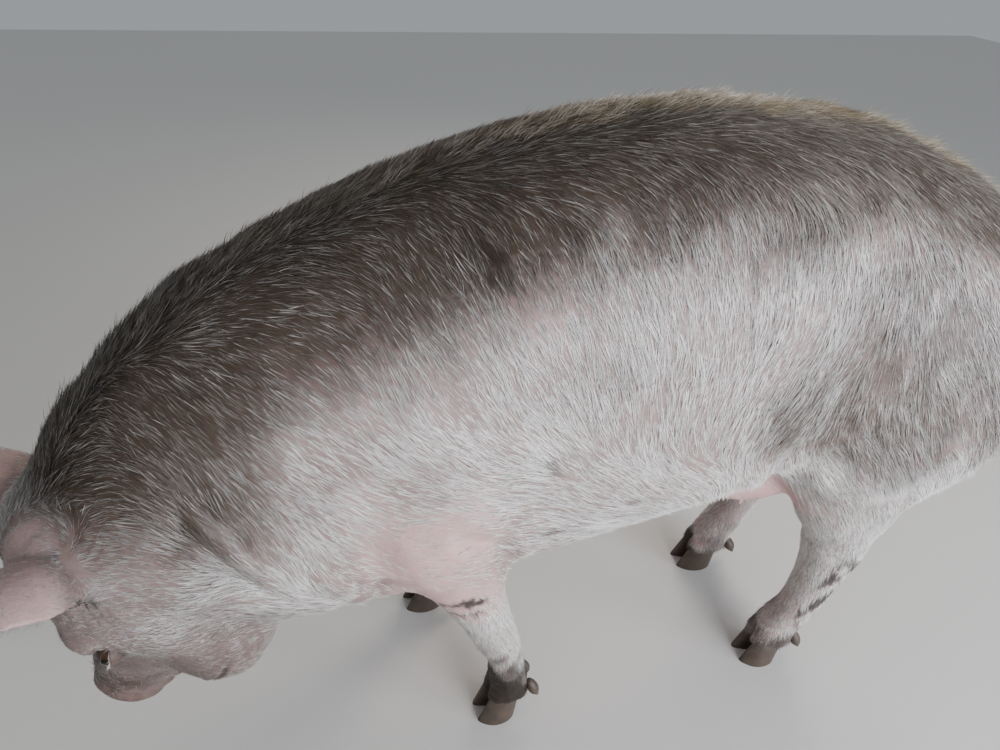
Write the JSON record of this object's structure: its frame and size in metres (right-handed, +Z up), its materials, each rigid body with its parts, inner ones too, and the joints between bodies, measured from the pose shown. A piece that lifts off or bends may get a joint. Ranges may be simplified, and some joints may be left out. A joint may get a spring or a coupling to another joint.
{
  "type": "pig",
  "caption": "Life-size white sow standing with an arched back and her head hung low, for museum-type display.",
  "frame": {"origin": "middle of the outline seen from above, on the floor under the claws", "axes": "+X towards the tail and -X towards the head, -Y the animal's left side, +Z up"},
  "size_m": [1.6306, 0.5596, 0.8654],
  "materials": {
    "coat": "short white bristles over pink skin",
    "skin": "thinly haired pink skin",
    "horn": "dirty dark horn",
    "eye": "wet dark brown eye"
  },
  "bodies": {
    "root": {"trunk": "coat", "neck": "coat", "head": "coat", "snout": "skin", "ear_left": "skin", "ear_right": "skin", "eye_left": "eye", "eye_right": "eye", "tail": "skin", "foreleg_left": "coat", "foreleg_left_claw_inner": "horn", "foreleg_left_claw_outer": "horn", "foreleg_left_dewclaw_inner": "horn", "foreleg_left_dewclaw_outer": "horn", "foreleg_right": "coat", "foreleg_right_claw_inner": "horn", "foreleg_right_claw_outer": "horn", "foreleg_right_dewclaw_inner": "horn", "foreleg_right_dewclaw_outer": "horn", "hindleg_left": "coat", "hindleg_left_claw_inner": "horn", "hindleg_left_claw_outer": "horn", "hindleg_left_dewclaw_inner": "horn", "hindleg_left_dewclaw_outer": "horn", "hindleg_right": "coat", "hindleg_right_claw_inner": "horn", "hindleg_right_claw_outer": "horn", "hindleg_right_dewclaw_inner": "horn", "hindleg_right_dewclaw_outer": "horn"}
  },
  "joints": []
}
